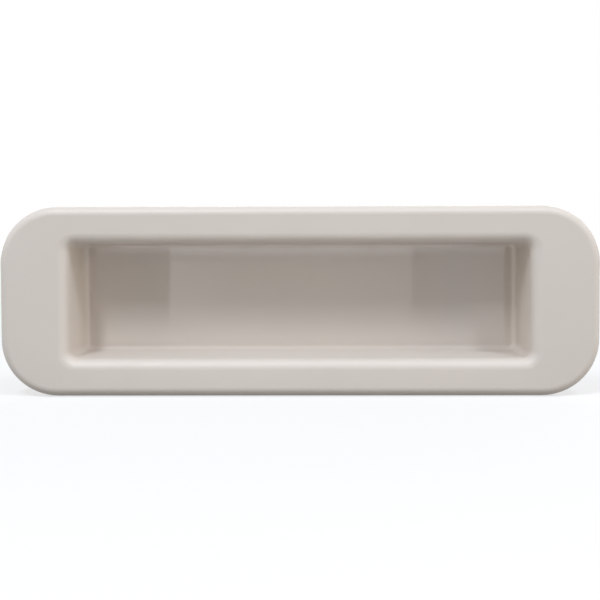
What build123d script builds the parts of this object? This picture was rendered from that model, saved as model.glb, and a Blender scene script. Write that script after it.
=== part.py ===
from build123d import *
import os

# Flush pull handle for a shutter panel, moulded in one piece of glossy plastic.
# A flat flange stays in view, and a cup behind it makes the finger recess.
# The cup pushes into a rectangular cut-out until the flange's rim meets the panel.
#
# X runs along the handle, Z is up and -Y faces the hand. The origin is the middle of
# the seat, the plane of the panel's front. Lengths are in millimetres, angles in degrees.

# Flange
FACE_LENGTH = 120.0
FACE_HEIGHT = 38.0
FACE_CORNER_RADIUS = 11.4
FACE_EDGE_RADIUS = 1.7
FLANGE_THICKNESS = 2.6

# Relief in the flange's back, which leaves a rim to bear on the panel
SEAT_RIM_WIDTH = 1.8
RELIEF_DEPTH = 0.8

# Finger recess, its mouth measured at the face as if the lip were sharp
MOUTH_LENGTH = 92.6
MOUTH_HEIGHT = 23.2
MOUTH_CORNER_RADIUS = 1.5
LIP_RADIUS = 2.1
RECESS_DEPTH = 14.0
RECESS_FLOOR_RADIUS = 1.1
DRAFT_ANGLE = 0.5

# Wall of the cup, and the fillet where it leaves the flange
WALL = 1.8
ROOT_RADIUS = 0.6

# Crush ribs on the cup's outside, which grip the cut-out
RIB_RADIUS = 1.0
RIB_PROUD = 0.5
RIB_LEAD_IN = 2.5
RIB_TIP_RADIUS = 0.2
RIB_TO_BACK = 4.0
LONG_SIDE_RIBS = 4
SHORT_SIDE_RIBS = 2

# Largest share of a wall or corner that a rounded edge may take
ROUNDING_SHARE = 0.9

# Places along Y
FACE_Y = -FLANGE_THICKNESS
RELIEF_Y = -RELIEF_DEPTH
RECESS_BACK_Y = FACE_Y + RECESS_DEPTH
CUP_BACK_Y = RECESS_BACK_Y + WALL
RIB_TIP_Y = CUP_BACK_Y - RIB_TO_BACK


def plane_facing_panel(y):
    """Drawing plane at this y whose normal points into the panel, along +Y."""
    return Plane(origin=(0, y, 0), x_dir=(1, 0, 0), z_dir=(0, 1, 0))


def limited(radius, room):
    """A rounding radius, held to the room that its wall or corner leaves."""
    return min(radius, ROUNDING_SHARE * room)


def hole_edges(body, y):
    """The edges round the hole in the flat face that lies at this y."""
    flat_faces = body.faces().filter_by(Plane.XZ)
    face = flat_faces.sort_by(lambda flat: abs(flat.center().Y - y))[0]
    return face.inner_wires()[0].edges()


def drafted_block(length, height, back_y, corner_radius, back_radius):
    """Block from the face to back_y that narrows by the draft, with rounded corners and back."""
    face_plane = plane_facing_panel(FACE_Y)
    block = extrude(face_plane * Rectangle(length, height), amount=back_y - FACE_Y)
    sides = block.faces().filter_by(Plane.XZ, reverse=True)
    block = draft(sides, neutral_plane=face_plane, angle=DRAFT_ANGLE)
    corners = block.edges().filter_by_position(Axis.Y, FACE_Y, back_y, inclusive=(False, False))
    block = fillet(corners, corner_radius)
    back_edges = block.faces().sort_by(Axis.Y)[-1].edges()
    return fillet(back_edges, limited(back_radius, corner_radius))


def flange():
    """Plate with a rounded front edge, relieved at the back inside its rim."""
    outline = RectangleRounded(FACE_LENGTH, FACE_HEIGHT, FACE_CORNER_RADIUS)
    plate = extrude(plane_facing_panel(FACE_Y) * outline, amount=FLANGE_THICKNESS)
    front_edges = plate.faces().sort_by(Axis.Y)[0].edges()
    plate = fillet(front_edges, limited(FACE_EDGE_RADIUS, FLANGE_THICKNESS))

    relief_outline = RectangleRounded(
        FACE_LENGTH - 2 * SEAT_RIM_WIDTH,
        FACE_HEIGHT - 2 * SEAT_RIM_WIDTH,
        FACE_CORNER_RADIUS - SEAT_RIM_WIDTH,
    )
    relief = extrude(plane_facing_panel(RELIEF_Y) * relief_outline, amount=RELIEF_DEPTH)
    return plate - relief


def cup():
    """Outside of the recess's wall, as one solid block."""
    return drafted_block(
        MOUTH_LENGTH + 2 * WALL,
        MOUTH_HEIGHT + 2 * WALL,
        CUP_BACK_Y,
        MOUTH_CORNER_RADIUS + WALL,
        RECESS_FLOOR_RADIUS + WALL,
    )


def recess():
    """The space that the fingers reach into."""
    return drafted_block(
        MOUTH_LENGTH,
        MOUTH_HEIGHT,
        RECESS_BACK_Y,
        MOUTH_CORNER_RADIUS,
        RECESS_FLOOR_RADIUS,
    )


def crush_rib(x, z):
    """Half-round rib along Y from the flange's relief, with a lead-in at its tip."""
    bead_length = RIB_TIP_Y - RIB_LEAD_IN - RELIEF_Y
    bead = Cylinder(RIB_RADIUS, bead_length, align=(Align.CENTER, Align.CENTER, Align.MIN))
    lead_in = Cone(
        RIB_RADIUS, RIB_TIP_RADIUS, RIB_LEAD_IN, align=(Align.CENTER, Align.CENTER, Align.MIN)
    )
    rib = bead + Pos(0, 0, bead_length) * lead_in
    return plane_facing_panel(RELIEF_Y) * Pos(x, z, 0) * rib


def rib_places(count, length):
    """Places of a row of ribs, spread evenly and symmetrically along a side."""
    pitch = length / count
    return [(i - (count - 1) / 2) * pitch for i in range(count)]


def crush_ribs():
    """Ribs on all four sides of the cup, each sunk so that it stands proud at the flange."""
    sunk = RIB_RADIUS - RIB_PROUD
    side_x = MOUTH_LENGTH / 2 + WALL - sunk
    side_z = MOUTH_HEIGHT / 2 + WALL - sunk
    ribs = []
    for side in (-1, 1):
        ribs += [crush_rib(x, side * side_z) for x in rib_places(LONG_SIDE_RIBS, MOUTH_LENGTH)]
        ribs += [crush_rib(side * side_x, z) for z in rib_places(SHORT_SIDE_RIBS, MOUTH_HEIGHT)]
    return ribs


def handle():
    """The whole moulding."""
    body = flange() + cup()
    body = fillet(hole_edges(body, RELIEF_Y), ROOT_RADIUS)
    body = body + crush_ribs() - recess()
    return fillet(hole_edges(body, FACE_Y), LIP_RADIUS)


os.makedirs("parts", exist_ok=True)
export_step(handle(), "parts/flush_handle.step")
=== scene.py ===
from math import cos, pi, radians, sin

import bpy
from mathutils import Euler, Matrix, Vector

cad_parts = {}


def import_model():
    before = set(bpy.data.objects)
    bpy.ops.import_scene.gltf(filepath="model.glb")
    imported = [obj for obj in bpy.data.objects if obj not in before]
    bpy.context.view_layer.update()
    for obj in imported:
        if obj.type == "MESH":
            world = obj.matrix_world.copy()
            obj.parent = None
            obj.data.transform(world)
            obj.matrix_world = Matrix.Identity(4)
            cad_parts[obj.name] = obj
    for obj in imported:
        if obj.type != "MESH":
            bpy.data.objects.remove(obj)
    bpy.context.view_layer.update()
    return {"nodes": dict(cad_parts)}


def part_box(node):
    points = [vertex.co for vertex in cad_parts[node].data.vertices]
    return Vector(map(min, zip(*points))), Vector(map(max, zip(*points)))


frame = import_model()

# Lengths are in metres and angles in degrees. X runs along the handle, Z is up and
# the camera looks along +Y at the handle's face.
NODE = "flush_handle"
LOW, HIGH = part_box(NODE)
FACE_Y = LOW.y

# Camera, at the photograph's viewing angle, with its sensor in millimetres
LEVEL_TILT = 90.0
CAMERA_TO_FACE = 0.180
CAMERA_X = 0.0023
CAMERA_Z = 0.0146
CAMERA_PITCH = -1.86
CAMERA_YAW = 0.705
CAMERA_ROLL = 0.18
CAMERA_SENSOR = 36.0
CAMERA_CLIP_START = 0.01
IMAGE_PIXELS = 600
FOCAL_PIXELS = 906.9
PRINCIPAL_PIXELS = (-0.65, -42.3)

# The recess, whose flat back is polished
WALL = 0.0018
RECESS_HALF_LENGTH = 0.0463
RECESS_HALF_HEIGHT = 0.0116
RECESS_MARGIN = 0.0004
RECESS_BACK_Y = HIGH.y - WALL
POLISH_FROM = RECESS_BACK_Y - 0.00007
POLISH_AT = RECESS_BACK_Y - 0.00001

# Plastic, in linear colour. Noise scales count bumps in a metre.
PLASTIC_LIGHT = (0.625, 0.564, 0.514, 1.0)
PLASTIC_DARK = (0.609, 0.548, 0.498, 1.0)
PLASTIC_IOR = 1.5
SATIN_ROUGHNESS = 0.50
POLISH_ROUGHNESS = 0.05
PATCHY_ROUGHNESS = (0.9, 1.1)
MOTTLE_SCALE = 45.0
MOTTLE_DETAIL = 4.0
PATCH_SCALE = 160.0
PATCH_DETAIL = 3.0
RIPPLE_SCALE = 900.0
RIPPLE_DETAIL = 2.0
RIPPLE_STRENGTH = 0.12
RIPPLE_HEIGHT = 0.00003
NOISE_RANGE = (0.3, 0.7)

# Light. A lamp's level is the share of its colour that a white surface facing it shows.
AMBIENT_LEVEL = 0.30
LAMP_DISTANCE = 0.6
WHITE = (1.0, 1.0, 1.0)
DAYLIGHT = (0.93, 1.0, 1.07)
COOL = (0.80, 0.98, 1.22)
WARM = (1.15, 1.03, 0.82)

# Floor, white but for the shadow, and whiter far off where the lamps fall away
FLOOR_DROP = 0.0001
FLOOR_SIZE = 6.0
FLOOR_GREY = 0.30
FLOOR_GLOW = 0.62
FLOOR_WHITE_FROM = 0.25
FLOOR_WHITE_AT = 1.2

# Cards that only reflections show. A fade runs from where a card is full to where it is clear.
CARD_Y = RECESS_BACK_Y - 0.075
CARD_LAYER = 0.001
CARD_LEFT = -0.066
CARD_RIGHT = 0.062
CARD_TOP = 0.0105
CENTRE_LEFT = -0.0397
CENTRE_RIGHT = 0.0327
LEFT_GLOW = (CENTRE_LEFT, -0.0215)
RIGHT_SHADE = (CENTRE_RIGHT, 0.0450)
LOW_LEFT = -0.0593
LOW_RIGHT = 0.0508
LOW_TOP = -0.0077
LOW_FADE = (-0.0172, -0.0082)
RIGHT_LOW_FADE = (-0.0110, -0.0180)
HIGH_BOTTOM = 0.0055
HIGH_FADE = (0.0120, 0.0068)
GLINT_BOTTOM = 0.0050
GLINT_FADE = (0.0098, 0.0058)
NEAR_LEFT = -0.053
NEAR_RIGHT = 0.046
NEAR_FROM = FACE_Y - 0.0534
NEAR_TO = FACE_Y - 0.0114


def node_tree(owner):
    """The emptied nodes and links of a material or a world."""
    owner.use_nodes = True
    owner.node_tree.nodes.clear()
    return owner.node_tree.nodes, owner.node_tree.links


def noise(nodes, links, coordinates, scale, detail):
    """A noise texture over the object's own coordinates."""
    texture = nodes.new("ShaderNodeTexNoise")
    texture.inputs["Scale"].default_value = scale
    texture.inputs["Detail"].default_value = detail
    links.new(coordinates.outputs["Object"], texture.inputs["Vector"])
    return texture.outputs["Fac"]


def map_range(nodes, links, value, start, end, low=0.0, high=1.0):
    """Low at the start and high at the end of a range, and level beyond both."""
    node = nodes.new("ShaderNodeMapRange")
    node.inputs["From Min"].default_value = start
    node.inputs["From Max"].default_value = end
    node.inputs["To Min"].default_value = low
    node.inputs["To Max"].default_value = high
    links.new(value, node.inputs["Value"])
    return node.outputs["Result"]


def math_node(nodes, links, operation, first, second):
    """A math node whose inputs are links or numbers."""
    node = nodes.new("ShaderNodeMath")
    node.operation = operation
    for socket, value in zip(node.inputs, (first, second)):
        if isinstance(value, float):
            socket.default_value = value
        else:
            links.new(value, socket)
    return node.outputs["Value"]


def recess_roughness(nodes, links, coordinates):
    """Satin all over, but for the polished flat back of the recess."""
    place = nodes.new("ShaderNodeSeparateXYZ")
    links.new(coordinates.outputs["Object"], place.inputs["Vector"])
    depth = place.outputs["Y"]
    along = math_node(nodes, links, "ABSOLUTE", place.outputs["X"], 0.0)
    up = math_node(nodes, links, "ABSOLUTE", place.outputs["Z"], 0.0)
    within = math_node(nodes, links, "LESS_THAN", depth, RECESS_BACK_Y + RECESS_MARGIN)
    for distance, half_size in ((along, RECESS_HALF_LENGTH), (up, RECESS_HALF_HEIGHT)):
        inside = math_node(nodes, links, "LESS_THAN", distance, half_size + RECESS_MARGIN)
        within = math_node(nodes, links, "MULTIPLY", within, inside)
    at_back = map_range(nodes, links, depth, POLISH_FROM, POLISH_AT)
    polished = math_node(nodes, links, "MULTIPLY", at_back, within)
    change = math_node(nodes, links, "MULTIPLY", polished, SATIN_ROUGHNESS - POLISH_ROUGHNESS)
    return math_node(nodes, links, "SUBTRACT", SATIN_ROUGHNESS, change)


def grey_plastic():
    """Light grey plastic with faint mottling, satin but for the recess's polished back."""
    material = bpy.data.materials.new("grey_plastic")
    nodes, links = node_tree(material)
    coordinates = nodes.new("ShaderNodeTexCoord")
    output = nodes.new("ShaderNodeOutputMaterial")
    shader = nodes.new("ShaderNodeBsdfPrincipled")
    shader.inputs["IOR"].default_value = PLASTIC_IOR
    links.new(shader.outputs["BSDF"], output.inputs["Surface"])

    ramp = nodes.new("ShaderNodeValToRGB")
    stops = ramp.color_ramp.elements
    for stop, position, colour in zip(stops, NOISE_RANGE, (PLASTIC_DARK, PLASTIC_LIGHT)):
        stop.position = position
        stop.color = colour
    links.new(noise(nodes, links, coordinates, MOTTLE_SCALE, MOTTLE_DETAIL), ramp.inputs["Fac"])
    links.new(ramp.outputs["Color"], shader.inputs["Base Color"])

    finish = recess_roughness(nodes, links, coordinates)
    patches = noise(nodes, links, coordinates, PATCH_SCALE, PATCH_DETAIL)
    patchy = map_range(nodes, links, patches, *NOISE_RANGE, *PATCHY_ROUGHNESS)
    links.new(math_node(nodes, links, "MULTIPLY", finish, patchy), shader.inputs["Roughness"])

    bump = nodes.new("ShaderNodeBump")
    bump.inputs["Strength"].default_value = RIPPLE_STRENGTH
    bump.inputs["Distance"].default_value = RIPPLE_HEIGHT
    ripple = noise(nodes, links, coordinates, RIPPLE_SCALE, RIPPLE_DETAIL)
    links.new(ripple, bump.inputs["Height"])
    links.new(bump.outputs["Normal"], shader.inputs["Normal"])
    return material


def dress_handle():
    """Show the CAD node in its plastic."""
    handle = frame["nodes"][NODE]
    handle.data.materials.clear()
    handle.data.materials.append(grey_plastic())


def direction(azimuth, elevation):
    """Unit vector from the handle towards azimuth, positive to the right, and elevation."""
    turn = radians(azimuth)
    rise = radians(elevation)
    return Vector((sin(turn) * cos(rise), -cos(turn) * cos(rise), sin(rise)))


def lamp(name, azimuth, elevation, width, height, level, colour, shine=True):
    """Rectangular lamp that faces the handle's mouth, its width and height as seen from there.

    A lamp without shine shows in no reflection.
    """
    data = bpy.data.lights.new(name, "AREA")
    data.shape = "RECTANGLE"
    data.size = 2 * LAMP_DISTANCE * sin(radians(width / 2))
    data.size_y = 2 * LAMP_DISTANCE * sin(radians(height / 2))
    data.energy = level * (pi * LAMP_DISTANCE) ** 2
    data.color = colour
    light = bpy.data.objects.new(name, data)
    mouth = Vector((0, FACE_Y, 0))
    away = direction(azimuth, elevation)
    light.location = mouth + LAMP_DISTANCE * away
    light.rotation_mode = "QUATERNION"
    light.rotation_quaternion = away.to_track_quat("Z", "Y")
    light.visible_glossy = shine
    bpy.context.scene.collection.objects.link(light)


def lamps():
    """Two narrow keys that light the low part of the recess, soft boxes all round and two low fills."""
    lamp("left_key", azimuth=-25, elevation=52, width=6, height=18, level=0.41, colour=DAYLIGHT)
    lamp("right_key", azimuth=41, elevation=51, width=6, height=14, level=0.28, colour=DAYLIGHT)
    lamp("top_softbox", azimuth=0, elevation=66, width=60, height=12, level=0.17, colour=DAYLIGHT)
    lamp("left_softbox", azimuth=-75, elevation=26, width=30, height=20, level=0.14, colour=COOL)
    lamp("right_softbox", azimuth=75, elevation=26, width=30, height=20, level=0.12, colour=COOL)
    lamp("left_fill", azimuth=-70, elevation=7, width=40, height=14, level=0.135, colour=WARM, shine=False)
    lamp("right_fill", azimuth=70, elevation=7, width=40, height=14, level=0.255, colour=WARM, shine=False)
    lamp("back_softbox", azimuth=165, elevation=20, width=60, height=30, level=0.50, colour=WHITE)


def reflection_only(thing):
    """Let a card show in reflections alone, without lighting or shading the handle."""
    thing.visible_camera = False
    thing.visible_diffuse = False
    thing.visible_shadow = False
    thing.visible_transmission = False


def card_paint(name, strength, fade, axis):
    """Paint of even brightness, which may fade out between two places along an axis."""
    material = bpy.data.materials.new(name)
    material.cycles.emission_sampling = "NONE"
    nodes, links = node_tree(material)
    output = nodes.new("ShaderNodeOutputMaterial")
    glow = nodes.new("ShaderNodeEmission")
    glow.inputs["Strength"].default_value = strength
    if fade is None:
        links.new(glow.outputs["Emission"], output.inputs["Surface"])
        return material
    coordinates = nodes.new("ShaderNodeTexCoord")
    place = nodes.new("ShaderNodeSeparateXYZ")
    links.new(coordinates.outputs["Object"], place.inputs["Vector"])
    clear = nodes.new("ShaderNodeBsdfTransparent")
    mixed = nodes.new("ShaderNodeMixShader")
    links.new(map_range(nodes, links, place.outputs[axis], *fade), mixed.inputs["Fac"])
    links.new(glow.outputs["Emission"], mixed.inputs[1])
    links.new(clear.outputs["BSDF"], mixed.inputs[2])
    links.new(mixed.outputs["Shader"], output.inputs["Surface"])
    return material


def card(name, x, y, z, strength, fade=None, axis="Z"):
    """Card that only reflections show, upright where its y range is one place and flat where z is."""
    corners = [(x[0], y[0], z[0]), (x[1], y[0], z[0]), (x[1], y[1], z[1]), (x[0], y[1], z[1])]
    mesh = bpy.data.meshes.new(name)
    mesh.from_pydata(corners, [], [(0, 1, 2, 3)])
    mesh.materials.append(card_paint(name, strength, fade, axis))
    thing = bpy.data.objects.new(name, mesh)
    bpy.context.scene.collection.objects.link(thing)
    reflection_only(thing)


def upright(layer):
    """The y range of an upright card, one place in a stack of layers that goes away from the recess."""
    y = CARD_Y - layer * CARD_LAYER
    return (y, y)


def cards():
    """Dim sides, a brighter middle and bright bands low and high, as the polished back mirrors them."""
    front, between, middle, rear = (upright(layer) for layer in range(4))
    whole = (LOW.z, CARD_TOP)
    upper = (LOW_TOP, CARD_TOP)
    lower = (LOW.z, LOW_TOP)
    card("left_dark_card", (CARD_LEFT, CENTRE_LEFT), rear, upper, strength=0.70)
    card("right_dark_card", (CENTRE_RIGHT, CARD_RIGHT), rear, whole, strength=1.38)
    card("right_shade_card", RIGHT_SHADE, middle, whole, strength=0.75, fade=RIGHT_SHADE, axis="X")
    card("left_low_card", (CARD_LEFT, LOW_LEFT), front, lower, strength=1.1)
    card("centre_card", (CENTRE_LEFT, CENTRE_RIGHT), middle, whole, strength=1.55)
    below_glint = (LOW.z, GLINT_BOTTOM)
    card("left_glow_card", LEFT_GLOW, between, below_glint, strength=2.15, fade=LEFT_GLOW, axis="X")
    glint = (GLINT_BOTTOM, CARD_TOP)
    card("glint_card", (CENTRE_LEFT, CENTRE_RIGHT), between, glint, strength=3.4, fade=GLINT_FADE)
    card("right_low_card", (LOW_RIGHT, CARD_RIGHT), front, lower, strength=1.7, fade=RIGHT_LOW_FADE)
    card("low_card", (LOW_LEFT, LOW_RIGHT), front, lower, strength=1.65, fade=LOW_FADE)
    high = (HIGH_BOTTOM, CARD_TOP)
    card("high_card", (CARD_LEFT, CARD_RIGHT), front, high, strength=4.5, fade=HIGH_FADE)
    floor_level = (LOW.z, LOW.z)
    card("near_card", (NEAR_LEFT, NEAR_RIGHT), (NEAR_FROM, NEAR_TO), floor_level, strength=4.5)


def background_share(nodes, links):
    """1 for what the camera and mirror-like surfaces see, and 0 for light that falls on things."""
    path = nodes.new("ShaderNodeLightPath")
    total = path.outputs["Is Camera Ray"]
    for name in ("Is Glossy Ray", "Is Transmission Ray"):
        total = math_node(nodes, links, "MAXIMUM", total, path.outputs[name])
    return total


def world():
    """White where it is seen, and dimmer as light on the handle."""
    surroundings = bpy.data.worlds.new("studio")
    nodes, links = node_tree(surroundings)
    output = nodes.new("ShaderNodeOutputWorld")
    background = nodes.new("ShaderNodeBackground")
    background.inputs["Color"].default_value = (*WHITE, 1.0)
    strength = map_range(nodes, links, background_share(nodes, links), 0.0, 1.0, AMBIENT_LEVEL, 1.0)
    links.new(strength, background.inputs["Strength"])
    links.new(background.outputs["Background"], output.inputs["Surface"])
    bpy.context.scene.world = surroundings


def floor_paint():
    """Pale floor that shows white, and a little darker where a shadow falls."""
    material = bpy.data.materials.new("floor_paint")
    material.cycles.emission_sampling = "NONE"
    nodes, links = node_tree(material)
    output = nodes.new("ShaderNodeOutputMaterial")
    matte = nodes.new("ShaderNodeBsdfDiffuse")
    matte.inputs["Color"].default_value = (FLOOR_GREY, FLOOR_GREY, FLOOR_GREY, 1.0)
    coordinates = nodes.new("ShaderNodeTexCoord")
    reach = nodes.new("ShaderNodeVectorMath")
    reach.operation = "LENGTH"
    links.new(coordinates.outputs["Object"], reach.inputs[0])
    whiteness = map_range(
        nodes, links, reach.outputs["Value"], FLOOR_WHITE_FROM, FLOOR_WHITE_AT, FLOOR_GLOW, 1.0
    )
    glow = nodes.new("ShaderNodeEmission")
    strength = math_node(nodes, links, "MULTIPLY", background_share(nodes, links), whiteness)
    links.new(strength, glow.inputs["Strength"])
    both = nodes.new("ShaderNodeAddShader")
    links.new(matte.outputs["BSDF"], both.inputs[0])
    links.new(glow.outputs["Emission"], both.inputs[1])
    links.new(both.outputs["Shader"], output.inputs["Surface"])
    return material


def floor():
    """Wide floor just under the handle."""
    half = FLOOR_SIZE / 2
    z = LOW.z - FLOOR_DROP
    corners = [(-half, -half, z), (half, -half, z), (half, half, z), (-half, half, z)]
    mesh = bpy.data.meshes.new("floor")
    mesh.from_pydata(corners, [], [(0, 1, 2, 3)])
    mesh.materials.append(floor_paint())
    plane = bpy.data.objects.new("floor", mesh)
    bpy.context.scene.collection.objects.link(plane)


def camera():
    """Camera that sees the handle as the photograph does."""
    data = bpy.data.cameras.new("camera")
    data.sensor_width = CAMERA_SENSOR
    data.lens = FOCAL_PIXELS / IMAGE_PIXELS * CAMERA_SENSOR
    data.shift_x = -PRINCIPAL_PIXELS[0] / IMAGE_PIXELS
    data.shift_y = PRINCIPAL_PIXELS[1] / IMAGE_PIXELS
    data.clip_start = CAMERA_CLIP_START
    viewer = bpy.data.objects.new("camera", data)
    viewer.location = (CAMERA_X, FACE_Y - CAMERA_TO_FACE, CAMERA_Z)
    tilt = radians(LEVEL_TILT + CAMERA_PITCH)
    aim = Euler((tilt, 0, radians(CAMERA_YAW)), "XYZ").to_matrix()
    roll = Euler((0, 0, radians(-CAMERA_ROLL)), "XYZ").to_matrix()
    viewer.rotation_euler = (aim @ roll).to_euler("XYZ")
    bpy.context.scene.collection.objects.link(viewer)
    bpy.context.scene.camera = viewer


dress_handle()
floor()
world()
lamps()
cards()
camera()
bpy.context.scene.view_settings.view_transform = "Standard"
